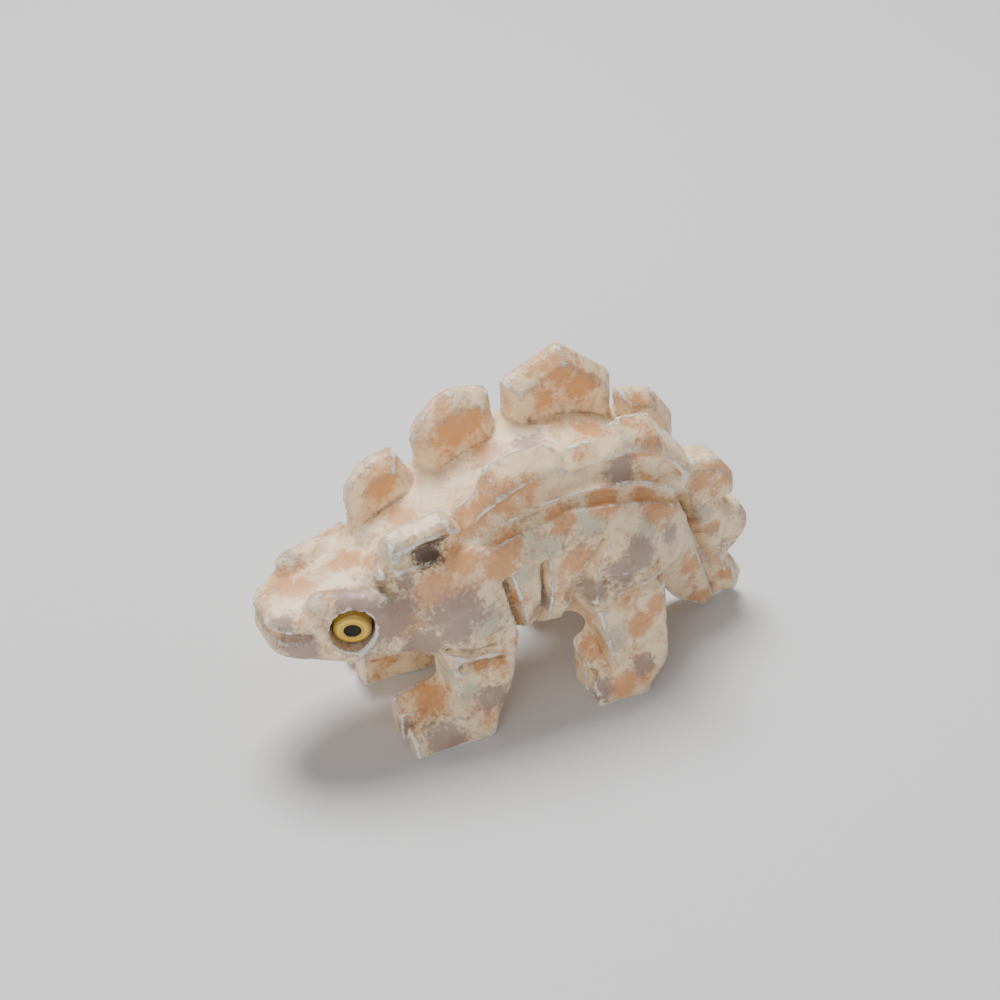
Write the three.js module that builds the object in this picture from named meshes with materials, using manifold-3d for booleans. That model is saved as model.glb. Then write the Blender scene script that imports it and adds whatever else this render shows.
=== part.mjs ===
import * as THREE from "three";
import { mergeVertices } from "three/addons/utils/BufferGeometryUtils.js";
import Module from "manifold-3d";

// A small carved stone stegosaurus with inlaid eyes. Millimetres, head towards -X, tail towards +X,
// the animal's left side towards -Y, Z up, feet standing on z = 0.

// The trunk, given at stations along X: its top, its underside and its half width.
const TRUNK_X = [-17, -12, -6, 0, 6, 12, 17];
const TRUNK_TOP = [16.2, 18.8, 21.2, 22.4, 22.2, 20.4, 16.0];
const TRUNK_BOTTOM = [9.8, 8.4, 7.9, 7.3, 6.6, 7.6, 10.0];
const TRUNK_HALF = [5.0, 6.5, 7.4, 7.3, 7.6, 6.8, 4.4];
const TRUNK_SQUARENESS = 2.8;
const RUMP = { at: [13.7, 17.8], facing: [0.902, 0.432], edge: 0.8 };

// The hollow of the back between the two rows of plates, along X at y = 0.
const SPINE_X = [-18.5, -14.5, -9, -3, 2, 6, 10, 14, 17];
const SPINE_Z = [15.6, 18.3, 20.5, 22.8, 23.7, 23.8, 22.6, 19.6, 16.0];
const VALLEY_HALF = 2.9;
const VALLEY_RISE = { left: 1.5, right: 0.45 };
const VALLEY_START_X = -16.5;
const VALLEY_GROWTH = 4;
const VALLEY_REACH = { left: 1.1, right: 1.8 };
const CREST_HALF = 5.6;
const CREST_SLOPE = { left: 0.75, right: 0 };
const CREST_BOTTOM = 15;
const CREST_END_X = { left: 15.5, right: 17 };

// Corners (x, z) of each plate of the back, seen from the side, front to back.
const LEFT_PLATES = [
  [[-16.0, 18.5], [-14.4, 22.0], [-9.6, 23.4], [-7.8, 21.6], [-7.8, 18.0]],
  [[-7.6, 20.4], [-5.0, 26.1], [-2.1, 26.8], [1.6, 26.3], [3.2, 24.0], [3.4, 20.0]],
  [[3.6, 21.0], [5.0, 24.4], [8.0, 27.3], [11.3, 26.8], [15.6, 21.6], [14.6, 18.5]],
];
const RIGHT_PLATES = [
  [[-15.6, 17.0], [-14.4, 22.2], [-12.8, 23.9], [-9.9, 24.5], [-8.0, 21.0], [-8.0, 17.0]],
  [[-7.2, 19.0], [-8.1, 25.2], [-7.1, 27.1], [-4.3, 28.8], [-0.5, 28.2], [0.6, 20.0]],
  [[1.3, 21.0], [1.1, 28.1], [6.8, 30.6], [12.0, 26.6], [12.2, 19.0]],
  [[12.8, 18.0], [12.8, 24.3], [16.7, 23.2], [18.8, 20.4], [19.0, 17.4], [16.0, 15.5]],
];
const PLATE_INNER = { left: 2.9, right: 3.1 };
const PLATE_OUTER = { left: 5.3, right: 5.4 };
const PLATE_LEAN = 0.05;
const PLATE_TOP_SLOPE = { left: 0.7, right: 0 };
const PLATE_EDGE = 0.55;

// The tail, seen from the side: the side lobes that carry on from the flanks, the crest behind them and the web
// that joins the two under a deep groove. The lobes thin from root to tip.
const TAIL_LOBE = [[9.0, 18.4], [13.6, 18.0], [17.6, 9.6], [21.6, 1.3], [20.4, 0.2], [16.5, 3.0], [12.9, 7.5], [9.0, 12.6]];
const TAIL_WEB = [[12.0, 18.6], [18.4, 17.0], [22.6, 9.0], [23.6, 1.0], [21.2, 0.6], [14.0, 10.0]];
const TAIL_CREST = [[15.6, 18.2], [18.6, 17.8], [21.9, 12.7], [23.1, 5.8], [23.9, 1.0], [23.2, 0.6]];
const TAIL_ROOT = new THREE.Vector2(12, 15);
const TAIL_TIP = new THREE.Vector2(22, 0.5);
const TAIL_HALF = { root: 5.6, tip: 1.1 };
const TAIL_WEB_HALF = 0.9;
const TAIL_CREST_HALF = { root: 2.2, tip: 1.3 };
const TAIL_PLATES = [
  [[16.4, 17.4], [17.5, 18.5], [20.8, 17.7], [22.8, 15.4], [23.0, 12.9], [19.5, 12.4]],
  [[20.6, 12.2], [23.9, 11.5], [25.0, 9.6], [25.0, 8.0], [23.3, 5.8], [21.5, 6.5]],
  [[22.4, 5.4], [23.6, 5.0], [25.0, 2.8], [24.6, 0.5], [23.0, 0.5]],
];

// The head.
const SNOUT_X = -25;
const HEAD_BACK_X = -13.5;
const SNOUT_HALF = 2.9;
const CHEEK_FLARE = 0.5;
const CHEEK_HALF = 6.2;
const JAW_Z = 11.6;
const JAW_FALL = 0.1;
const SNOUT_TOP_Z = 15.7;
const FOREHEAD_RISE = 0.2;
const BROW = { front: [-20.4, 3.1, 16.5], back: [-16.2, 4.3, 16.0], radius: 1.3 };

// Eyes: where the left one sits, which way it faces, and its sizes. The right one mirrors it.
const EYE_CENTRE = new THREE.Vector3(-18.75, -5.4, 14.5);
const EYE_FACING = new THREE.Vector3(-0.4, -0.9, -0.15).normalize();
const EYE_RADIUS = 1.65;
const EYE_THICKNESS = 1.1;
const EYE_DOME = 0.15;
const PUPIL_RADIUS = 0.75;
const PUPIL_DEPTH = 0.25;
const EYE_SEGMENTS = 24;
const FIT_GAP = 0.3;
const DRILL_LENGTH = 4;

// Legs as tapered blocks between two levels, for the left side; y is measured outwards.
const FRONT_LEG = {
  low: { z: 0, x: [-9.6, -4.9], y: [3.2, 8.2] },
  high: { z: 12, x: [-10.6, -3.0], y: [2.8, 7.4] },
  trims: [{ at: [-6.7, 6, 0], facing: [0.88, 0, -0.48] }],
};
const FRONT_FOOT = {
  low: { z: 0, x: [-14.3, -6.6], y: [3.0, 8.5] },
  high: { z: 4.4, x: [-14.6, -6.0], y: [3.1, 7.6] },
  trims: [{ at: [-12, 7.6, 2.6], facing: [-0.2, 0.37, 0.9] }, { at: [-6.7, 6, 0], facing: [0.88, 0, -0.48] }],
};
const SHOULDER = { centre: [-8.2, 4.6, 13.0], size: [4.6, 3.3, 5.4] };
const HIND_LEG = {
  low: { z: 0, x: [6.5, 11.6], y: [5.2, 9.8] },
  high: { z: 12, x: [3.2, 11.2], y: [3.4, 8.2] },
  trims: [{ at: [8.9, 8, 0], facing: [0.74, 0, -0.67] }],
};
const HIND_FOOT = {
  low: { z: 0, x: [3.8, 9.6], y: [4.9, 9.8] },
  high: { z: 7.4, x: [3.1, 10.4], y: [4.4, 8.8] },
  trims: [{ at: [4.6, 9.5, 1.9], facing: [-0.44, 0.55, 0.71] }, { at: [8.9, 8, 0], facing: [0.74, 0, -0.67] }],
};
const THIGH = { centre: [7.6, 5.0, 13.4], size: [4.4, 3.4, 5.2] };

// Incised lines on both flanks, as (x, z) points, each with its half width and depth.
const CUTS = [
  { line: [[-14, 19.3], [-6.5, 19.9], [0, 20.8], [5, 20.9], [9, 20.0], [12.6, 18.6]], half: 0.85, depth: 0.8 },
  { line: [[-4.2, 15.2], [-3.0, 9.0]], half: 0.6, depth: 1.0 },
  { line: [[-0.8, 15.8], [-1.1, 8.6]], half: 0.6, depth: 0.9 },
  { line: [[4.5, 17.0], [3.7, 14.2], [3.4, 12.4]], half: 0.9, depth: 1.3 },
  { line: [[-10.2, 10.4], [-8.2, 9.5], [-6.0, 9.5]], half: 0.55, depth: 0.5 },
  { line: [[-9.2, 8.2], [-5.2, 7.8]], half: 0.55, depth: 0.5 },
  { line: [[5.2, 12.3], [10.9, 13.0]], half: 0.55, depth: 0.35 },
  { line: [[4.2, 10.1], [10.9, 10.9]], half: 0.55, depth: 0.35 },
];
const FLANK_INNER = 3.6;
const MOUTH = { z: 14.0, back: -21.8, half: 0.5, depth: 0.5 };
const TOE_NOTCHES = [
  { x: -14.0, y: 5.9 },
  { x: 4.0, y: 7.6 },
];
const TOE_NOTCH_RADIUS = 0.55;

// Meshing: spacing of the sampling grid, its margin and the triangles that are kept.
const GRID_STEP = 0.4;
const BELOW_GROUND = 0.6;
const KEPT_TRIANGLES = 8600;

const { lerp, clamp } = THREE.MathUtils;

function blendMin(a, b, k) {
  const h = Math.max(k - Math.abs(a - b), 0);
  return Math.min(a, b) - (h * h) / (4 * k);
}

function blendMax(a, b, k) {
  return -blendMin(-a, -b, k);
}

function stations(xs, ...rows) {
  const values = xs.flatMap((_, i) => rows.map((row) => row[i]));
  const curve = new THREE.CubicInterpolant(xs, values, rows.length);
  return (x) => curve.evaluate(clamp(x, xs[0], xs.at(-1)));
}
const trunkAt = stations(TRUNK_X, TRUNK_TOP, TRUNK_BOTTOM, TRUNK_HALF);
const spineAt = stations(SPINE_X, SPINE_Z);

// Distance to a convex outline in the XZ plane, with corners rounded by k.
function outline(points, x, z, k) {
  let d = -Infinity;
  points.forEach(([ax, az], i) => {
    const [bx, bz] = points[(i + 1) % points.length];
    const length = Math.hypot(bx - ax, bz - az);
    const side = ((ax - x) * (bz - az) - (az - z) * (bx - ax)) / length;
    d = d === -Infinity ? side : blendMax(d, side, k);
  });
  return d;
}

function taperedBlock(shape, x, y, z, k) {
  const { low, high } = shape;
  const t = (z - low.z) / (high.z - low.z);
  const dx = Math.max(lerp(low.x[0], high.x[0], t) - x, x - lerp(low.x[1], high.x[1], t));
  const dy = Math.max(lerp(low.y[0], high.y[0], t) - y, y - lerp(low.y[1], high.y[1], t));
  let d = blendMax(blendMax(dx, dy, k), z - high.z, k);
  for (const { at, facing } of shape.trims) {
    d = blendMax(d, (x - at[0]) * facing[0] + (y - at[1]) * facing[1] + (z - at[2]) * facing[2], k);
  }
  return d;
}

function ellipsoid(shape, x, y, z) {
  const [cx, cy, cz] = shape.centre;
  const [rx, ry, rz] = shape.size;
  const q = Math.hypot((x - cx) / rx, (y - cy) / ry, (z - cz) / rz);
  return (q - 1) * Math.min(rx, ry, rz);
}

function capsule(shape, x, y, z) {
  const [ax, ay, az] = shape.front;
  const [bx, by, bz] = shape.back;
  const [dx, dy, dz] = [bx - ax, by - ay, bz - az];
  const t = clamp(((x - ax) * dx + (y - ay) * dy + (z - az) * dz) / (dx * dx + dy * dy + dz * dz), 0, 1);
  return Math.hypot(x - ax - t * dx, y - ay - t * dy, z - az - t * dz) - shape.radius;
}

function trunk(x, y, z) {
  const [top, bottom, half] = trunkAt(x);
  const middle = (top + bottom) / 2;
  const height = (top - bottom) / 2;
  const n = TRUNK_SQUARENESS;
  const q = (Math.abs(y / half) ** n + Math.abs((z - middle) / height) ** n) ** (1 / n);
  const d = (q - 1) * Math.min(half, height);
  const rump = (x - RUMP.at[0]) * RUMP.facing[0] + (z - RUMP.at[1]) * RUMP.facing[1];
  return blendMax(blendMax(d, TRUNK_X[0] - x, 2), rump, RUMP.edge);
}

// The ridge under each row of plates, with the hollow of the back between them.
function crest(x, y, z) {
  const side = y < 0 ? "left" : "right";
  const out = Math.abs(y);
  const rise = VALLEY_RISE[side] * clamp((x - VALLEY_START_X) / VALLEY_GROWTH, 0, 1);
  const floor = spineAt(x)[0] + rise * Math.min(out / VALLEY_HALF, VALLEY_REACH[side]) ** 2;
  const slope = CREST_SLOPE[side];
  const shoulder = (out - VALLEY_HALF + slope * (z - floor)) / Math.hypot(1, slope);
  const wall = side === "left" ? Math.max(shoulder, out - CREST_HALF) : out - CREST_HALF;
  let d = blendMax(blendMax(z - floor, wall, 0.8), CREST_BOTTOM - z, 1);
  return blendMax(blendMax(d, SPINE_X[0] - x, 1), x - CREST_END_X[side], 1);
}

function backPlates(x, y, z) {
  const side = y < 0 ? "left" : "right";
  const plates = side === "left" ? LEFT_PLATES : RIGHT_PLATES;
  const out = Math.abs(y) - PLATE_LEAN * (z - 21);
  const middle = (PLATE_INNER[side] + PLATE_OUTER[side]) / 2;
  const half = (PLATE_OUTER[side] - PLATE_INNER[side]) / 2;
  const thickness = Math.abs(out - middle) - half;
  const slid = z + PLATE_TOP_SLOPE[side] * (out - PLATE_INNER[side]);
  let d = Infinity;
  for (const corners of plates) {
    d = Math.min(d, blendMax(outline(corners, x, slid, PLATE_EDGE), thickness, PLATE_EDGE));
  }
  return d;
}

function tail(x, y, z) {
  const out = Math.abs(y);
  const axis = TAIL_TIP.clone().sub(TAIL_ROOT);
  const along = clamp(((x - TAIL_ROOT.x) * axis.x + (z - TAIL_ROOT.y) * axis.y) / axis.lengthSq(), -0.2, 1);
  const lobe = blendMax(outline(TAIL_LOBE, x, z, 0.8), out - lerp(TAIL_HALF.root, TAIL_HALF.tip, along), 1.2);
  const web = Math.max(outline(TAIL_WEB, x, z, 0.5), out - TAIL_WEB_HALF);
  const thick = out - lerp(TAIL_CREST_HALF.root, TAIL_CREST_HALF.tip, along);
  let crestOutline = outline(TAIL_CREST, x, z, 0.5);
  for (const corners of TAIL_PLATES) {
    crestOutline = blendMin(crestOutline, outline(corners, x, z, 0.6), 0.3);
  }
  return blendMin(Math.min(lobe, web), blendMax(crestOutline, thick, 0.8), 0.2);
}

function head(x, y, z) {
  const out = Math.abs(y);
  const along = x - SNOUT_X;
  const cheek = Math.max((out - SNOUT_HALF - CHEEK_FLARE * along) / Math.hypot(1, CHEEK_FLARE), out - CHEEK_HALF);
  const top = z - SNOUT_TOP_Z - FOREHEAD_RISE * along + 0.05 * out * out;
  const jaw = JAW_Z - JAW_FALL * along - z;
  let d = blendMax(cheek, Math.max(SNOUT_X - x, x - HEAD_BACK_X), 1.8);
  d = blendMax(blendMax(d, top, 1.8), jaw, 1);
  return blendMin(d, capsule(BROW, x, out, z), 0.9);
}

function legs(x, y, z) {
  const out = Math.abs(y);
  const front = blendMin(taperedBlock(FRONT_LEG, x, out, z, 1.2), taperedBlock(FRONT_FOOT, x, out, z, 1), 1.5);
  const hind = blendMin(taperedBlock(HIND_LEG, x, out, z, 1.2), taperedBlock(HIND_FOOT, x, out, z, 1), 1.2);
  return Math.min(
    blendMin(front, ellipsoid(SHOULDER, x, out, z), 1.2),
    blendMin(hind, ellipsoid(THIGH, x, out, z), 1.2),
  );
}

// How deep the incised lines go at a point seen from the side.
function incision(x, z) {
  let deepest = 0;
  for (const { line, half, depth } of CUTS) {
    for (let i = 0; i + 1 < line.length; i++) {
      const [ax, az] = line[i];
      const [bx, bz] = line[i + 1];
      const run = (bx - ax) ** 2 + (bz - az) ** 2;
      const t = clamp(((x - ax) * (bx - ax) + (z - az) * (bz - az)) / run, 0, 1);
      const off = Math.hypot(x - lerp(ax, bx, t), z - lerp(az, bz, t));
      deepest = Math.max(deepest, depth * clamp(1.6 * (1 - off / half), 0, 1));
    }
  }
  return deepest;
}

// Signed distance to the carved stone: negative inside.
function stone(x, y, z) {
  let d = blendMin(trunk(x, y, z), crest(x, y, z), 0.6);
  d = blendMin(d, tail(x, y, z), 0.8);
  d = blendMin(d, head(x, y, z), 1.2);
  d = blendMin(d, legs(x, y, z), 0.9);
  d = blendMin(d, backPlates(x, y, z), 0.35);
  d += incision(x, z) * clamp(Math.abs(y) - FLANK_INNER, 0, 1);
  if (x < MOUTH.back) {
    d += MOUTH.depth * Math.max(0, 1 - Math.abs(z - MOUTH.z) / MOUTH.half);
  }
  for (const toe of TOE_NOTCHES) {
    const notch = TOE_NOTCH_RADIUS - Math.hypot(x - toe.x, Math.abs(y) - toe.y);
    if (z < 3) d = blendMax(d, notch, 0.3);
  }
  return Math.max(d, -BELOW_GROUND - z);
}

// Samples the distance on a grid and gives the surface where it is zero, as a closed set of triangles:
// each grid cell is split into six tetrahedra, and each tetrahedron that the surface crosses gives one or two.
function surfaceOf(distance, low, high, step) {
  const counts = low.map((from, axis) => Math.ceil((high[axis] - from) / step) + 1);
  const stride = [counts[1] * counts[2], counts[2], 1];
  const place = (i, axis) => low[axis] + i * step;
  const samples = new Float32Array(counts[0] * stride[0]);
  let n = 0;
  for (let i = 0; i < counts[0]; i++) {
    for (let j = 0; j < counts[1]; j++) {
      for (let k = 0; k < counts[2]; k++) {
        const d = distance(place(i, 0), place(j, 1), place(k, 2));
        samples[n++] = Math.abs(d) < 1e-4 ? 1e-4 : d;
      }
    }
  }
  const corner = Array.from({ length: 8 }, (_, bits) =>
    (bits & 1 ? stride[0] : 0) + (bits & 2 ? stride[1] : 0) + (bits & 4 ? stride[2] : 0));
  const paths = [[1, 2], [2, 4], [4, 1], [2, 1], [4, 2], [1, 4]];
  const positions = [];
  const triangles = [];
  const known = new Map();
  // The crossing on the edge between two corners of a cell, made once and then shared.
  function crossing(cell, a, b) {
    const from = cell + corner[a & b];
    const key = from * 8 + (a ^ b);
    if (known.has(key)) return known.get(key);
    const to = cell + corner[a | b];
    const t = clamp(samples[from] / (samples[from] - samples[to]), 0.05, 0.95);
    const at = [Math.floor(from / stride[0]), Math.floor((from % stride[0]) / stride[1]), from % stride[1]];
    const index = positions.length / 3;
    at.forEach((i, axis) => positions.push(place(i + ((a ^ b) & (1 << axis) ? t : 0), axis)));
    known.set(key, index);
    return index;
  }
  for (let i = 0; i + 1 < counts[0]; i++) {
    for (let j = 0; j + 1 < counts[1]; j++) {
      for (let k = 0; k + 1 < counts[2]; k++) {
        const cell = i * stride[0] + j * stride[1] + k;
        const inside = corner.filter((offset) => samples[cell + offset] < 0).length;
        if (inside === 0 || inside === 8) continue;
        paths.forEach(([first, second], which) => {
          const tetra = [0, first, first | second, 7];
          const ins = [];
          const outs = [];
          tetra.forEach((bits, c) => (samples[cell + corner[bits]] < 0 ? ins : outs).push(c));
          if (!ins.length || !outs.length) return;
          const order = [...ins, ...outs];
          let odd = which >= 3;
          order.forEach((c, a) => order.slice(a + 1).forEach((later) => (odd = later < c ? !odd : odd)));
          const [p, q, r, s] = order.map((c) => tetra[c]);
          const cut = (a, b) => crossing(cell, a, b);
          const loop =
            ins.length === 1 ? [cut(p, q), cut(p, r), cut(p, s)]
            : ins.length === 3 ? [cut(p, s), cut(q, s), cut(r, s)]
            : [cut(p, r), cut(p, s), cut(q, s), cut(q, r)];
          if (odd) loop.reverse();
          for (let c = 2; c < loop.length; c++) triangles.push([loop[0], loop[c - 1], loop[c]]);
        });
      }
    }
  }
  return { positions, triangles };
}

// Merges short and flat edges, cheapest first, until the given number of triangles is left.
function decimate({ positions, triangles }, keep) {
  const point = (v) => new THREE.Vector3().fromArray(positions, v * 3);
  const count = positions.length / 3;
  const quadrics = Array.from({ length: count }, () => new Float64Array(10));
  const around = Array.from({ length: count }, () => new Set());
  const versions = new Uint32Array(count);
  const plane = new THREE.Plane();
  triangles.forEach((face, f) => {
    plane.setFromCoplanarPoints(...face.map(point));
    const area = new THREE.Triangle(...face.map(point)).getArea();
    const w = [plane.normal.x, plane.normal.y, plane.normal.z, plane.constant];
    for (const v of face) {
      let n = 0;
      for (let a = 0; a < 4; a++) {
        for (let b = a; b < 4; b++) quadrics[v][n++] += area * w[a] * w[b];
      }
      around[v].add(f);
    }
  });
  const errorAt = (q, p) =>
    q[0] * p.x * p.x + 2 * q[1] * p.x * p.y + 2 * q[2] * p.x * p.z + 2 * q[3] * p.x +
    q[4] * p.y * p.y + 2 * q[5] * p.y * p.z + 2 * q[6] * p.y +
    q[7] * p.z * p.z + 2 * q[8] * p.z + q[9];
  const system = new THREE.Matrix3();
  const heap = [];
  const before = (a, b) => a.cost < b.cost;
  function push(item) {
    let i = heap.push(item) - 1;
    for (let up = (i - 1) >> 1; i > 0 && before(heap[i], heap[up]); i = up, up = (i - 1) >> 1) {
      [heap[i], heap[up]] = [heap[up], heap[i]];
    }
  }
  function pop() {
    const top = heap[0];
    const last = heap.pop();
    if (!heap.length) return top;
    heap[0] = last;
    for (let i = 0; ; ) {
      let least = i;
      for (const child of [2 * i + 1, 2 * i + 2]) {
        if (child < heap.length && before(heap[child], heap[least])) least = child;
      }
      if (least === i) return top;
      [heap[i], heap[least]] = [heap[least], heap[i]];
      i = least;
    }
  }
  function offer(a, b) {
    const q = quadrics[a].map((value, i) => value + quadrics[b][i]);
    const middle = point(a).lerp(point(b), 0.5);
    const length = point(a).distanceTo(point(b));
    const pull = 1e-3;
    system.set(q[0] + pull, q[1], q[2], q[1], q[4] + pull, q[5], q[2], q[5], q[7] + pull);
    const best = new THREE.Vector3(pull * middle.x - q[3], pull * middle.y - q[6], pull * middle.z - q[8]);
    best.applyMatrix3(system.invert());
    if (!(best.distanceTo(middle) < length)) best.copy(middle);
    const cost = Math.max(errorAt(q, best), 0) + 1e-5 * length * length;
    push({ a, b, q, best, cost, version: versions[a] + versions[b] });
  }
  const neighbours = (v) => new Set([...around[v]].flatMap((f) => triangles[f]).filter((other) => other !== v));
  const normal = new THREE.Vector3();
  const moved = new THREE.Vector3();
  // A merge is refused where it would fold the surface over or pinch it.
  function allowed({ a, b, best }) {
    const [near, far] = [neighbours(a), neighbours(b)];
    if ([...near].filter((v) => far.has(v)).length !== 2) return false;
    for (const f of [...around[a], ...around[b]]) {
      const face = triangles[f];
      if (face.includes(a) && face.includes(b)) continue;
      const corners = face.map(point);
      THREE.Triangle.getNormal(...corners, normal);
      THREE.Triangle.getNormal(...corners.map((p, i) => (face[i] === a || face[i] === b ? best : p)), moved);
      if (normal.dot(moved) < 0.35) return false;
    }
    return true;
  }
  for (let v = 0; v < count; v++) {
    for (const other of neighbours(v)) if (v < other) offer(v, other);
  }
  let left = triangles.length;
  while (left > keep && heap.length) {
    const edge = pop();
    const { a, b, q, best, version } = edge;
    if (!around[a].size || !around[b].size || version !== versions[a] + versions[b] || !allowed(edge)) continue;
    for (const f of around[b]) {
      const face = triangles[f];
      if (face.includes(a)) {
        for (const v of face) if (v !== b) around[v].delete(f);
        left--;
      } else {
        face[face.indexOf(b)] = a;
        around[a].add(f);
      }
    }
    around[b].clear();
    best.toArray(positions, a * 3);
    quadrics[a] = q;
    versions[a]++;
    for (const other of neighbours(a)) offer(a, other);
  }
  const kept = new Set([...around.flatMap((faces) => [...faces])]);
  return { positions, triangles: [...kept].map((f) => triangles[f]) };
}

function geometryOf({ positions, triangles }) {
  const geometry = new THREE.BufferGeometry();
  geometry.setAttribute("position", new THREE.Float32BufferAttribute(positions, 3));
  geometry.setIndex(triangles.flat());
  return geometry;
}

const wasm = await Module();
wasm.setup();

// A closed three.js surface as a solid, without the collapsed triangles at the ends of a turned shape.
function solidOf(geometry) {
  const bare = new THREE.BufferGeometry();
  bare.setAttribute("position", geometry.getAttribute("position"));
  bare.setIndex(geometry.index);
  const merged = mergeVertices(bare, 1e-4);
  const corners = [...merged.index.array];
  const kept = corners.filter((_, i) => {
    const face = corners.slice(i - (i % 3), i - (i % 3) + 3);
    return new Set(face).size === 3;
  });
  return new wasm.Manifold(new wasm.Mesh({
    numProp: 3,
    vertProperties: merged.getAttribute("position").array,
    triVerts: Uint32Array.from(kept),
  }));
}

// Turns a shape made along +Y so that it faces the way an eye does, and moves it to that eye.
function atEye(geometry, mirror) {
  const turn = new THREE.Quaternion().setFromUnitVectors(new THREE.Vector3(0, 1, 0), EYE_FACING);
  geometry.applyQuaternion(turn).translate(...EYE_CENTRE);
  if (mirror) {
    geometry.scale(1, -1, 1);
    geometry.setIndex([...geometry.index.array].reverse());
  }
  return geometry;
}

function eyeSocket(mirror) {
  const radius = EYE_RADIUS + FIT_GAP;
  const drill = new THREE.CylinderGeometry(radius, radius, DRILL_LENGTH, EYE_SEGMENTS);
  drill.translate(0, DRILL_LENGTH / 2 - EYE_THICKNESS - FIT_GAP, 0);
  return solidOf(atEye(drill, mirror));
}

function eye(mirror) {
  const ring = (EYE_RADIUS + PUPIL_RADIUS) / 2;
  const profile = [
    [0, -EYE_THICKNESS],
    [EYE_RADIUS, -EYE_THICKNESS],
    [EYE_RADIUS, -EYE_DOME],
    [ring, 0],
    [PUPIL_RADIUS, EYE_DOME / 2],
    [PUPIL_RADIUS * 0.8, -PUPIL_DEPTH],
    [0, -PUPIL_DEPTH],
  ];
  const points = profile.map(([r, h]) => new THREE.Vector2(r, h));
  return solidOf(atEye(new THREE.LatheGeometry(points, EYE_SEGMENTS), mirror));
}

function carvedBody() {
  const low = [-26.5, -11.5, -BELOW_GROUND - GRID_STEP];
  const high = [26.5, 11.5, 32.5];
  const rough = decimate(surfaceOf(stone, low, high, GRID_STEP), KEPT_TRIANGLES);
  const ground = new THREE.BoxGeometry(60, 30, 4).translate(0, 0, -2);
  return solidOf(geometryOf(rough)).subtract(solidOf(ground)).subtract(eyeSocket(false)).subtract(eyeSocket(true));
}

function node(name, solid, look) {
  const { vertProperties, triVerts } = solid.getMesh();
  const geometry = new THREE.BufferGeometry();
  geometry.setAttribute("position", new THREE.BufferAttribute(vertProperties, 3));
  geometry.setIndex(new THREE.BufferAttribute(triVerts, 1));
  geometry.computeVertexNormals();
  const mesh = new THREE.Mesh(geometry, new THREE.MeshStandardMaterial(look));
  mesh.name = name;
  return mesh;
}

const figurine = new THREE.Group();
figurine.name = "stone_stegosaurus";
figurine.add(
  node("carved_body", carvedBody(), { color: 0xdcb98c, roughness: 0.45 }),
  node("left_eye", eye(false), { color: 0xc8a028, roughness: 0.35 }),
  node("right_eye", eye(true), { color: 0xc8a028, roughness: 0.35 }),
);

export default figurine;
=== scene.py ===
import math

import bpy
import numpy as np
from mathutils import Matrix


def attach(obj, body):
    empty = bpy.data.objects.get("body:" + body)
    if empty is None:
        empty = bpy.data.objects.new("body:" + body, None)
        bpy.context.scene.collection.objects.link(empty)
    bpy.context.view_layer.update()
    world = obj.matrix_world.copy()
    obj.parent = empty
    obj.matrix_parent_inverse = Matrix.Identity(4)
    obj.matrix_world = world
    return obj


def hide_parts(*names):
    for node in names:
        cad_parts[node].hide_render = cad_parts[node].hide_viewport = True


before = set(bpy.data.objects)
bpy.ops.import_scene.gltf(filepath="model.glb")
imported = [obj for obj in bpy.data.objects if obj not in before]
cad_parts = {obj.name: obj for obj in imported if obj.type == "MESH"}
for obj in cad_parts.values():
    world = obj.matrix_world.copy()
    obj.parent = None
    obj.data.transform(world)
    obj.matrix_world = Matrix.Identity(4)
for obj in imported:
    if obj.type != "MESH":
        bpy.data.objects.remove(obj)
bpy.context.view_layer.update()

import openvdb
from mathutils import Matrix, Quaternion, Vector, noise

# A small carved stone stegosaurus with inlaid eyes. The shapes below are in millimetres, with the head towards -X,
# the tail towards +X, the animal's left side towards -Y and the feet on z = 0.
MM = 0.001
GRID_STEP = 0.235
GRID_LOW = (-26.0, -11.2, -0.5)
GRID_HIGH = (26.0, 11.2, 31.5)

TRUNK_X = [-17, -12, -6, 0, 6, 12, 17]
TRUNK_TOP = [16.2, 18.8, 21.2, 22.4, 22.2, 20.4, 16.0]
TRUNK_BOTTOM = [9.8, 8.4, 7.9, 7.3, 6.6, 7.6, 10.0]
TRUNK_HALF = [5.0, 6.5, 7.4, 7.3, 7.6, 6.8, 4.4]
TRUNK_SQUARENESS = 2.8
RUMP_AT = (13.7, 17.8)
RUMP_FACING = (0.902, 0.432)
RUMP_EDGE = 0.8

SPINE_X = [-18.5, -14.5, -9, -3, 2, 6, 10, 14, 17]
SPINE_Z = [15.6, 18.3, 20.5, 22.8, 23.7, 23.8, 22.6, 19.6, 16.0]
VALLEY_HALF = 2.9
VALLEY_RISE = {"left": 1.5, "right": 0.45}
VALLEY_START_X = -16.5
VALLEY_GROWTH = 10
VALLEY_REACH = {"left": 1.1, "right": 1.8}
CREST_HALF = 5.6
CREST_SLOPE = 0.9
CREST_BOTTOM = 15
CREST_END_X = {"left": 15.5, "right": 17}

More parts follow.
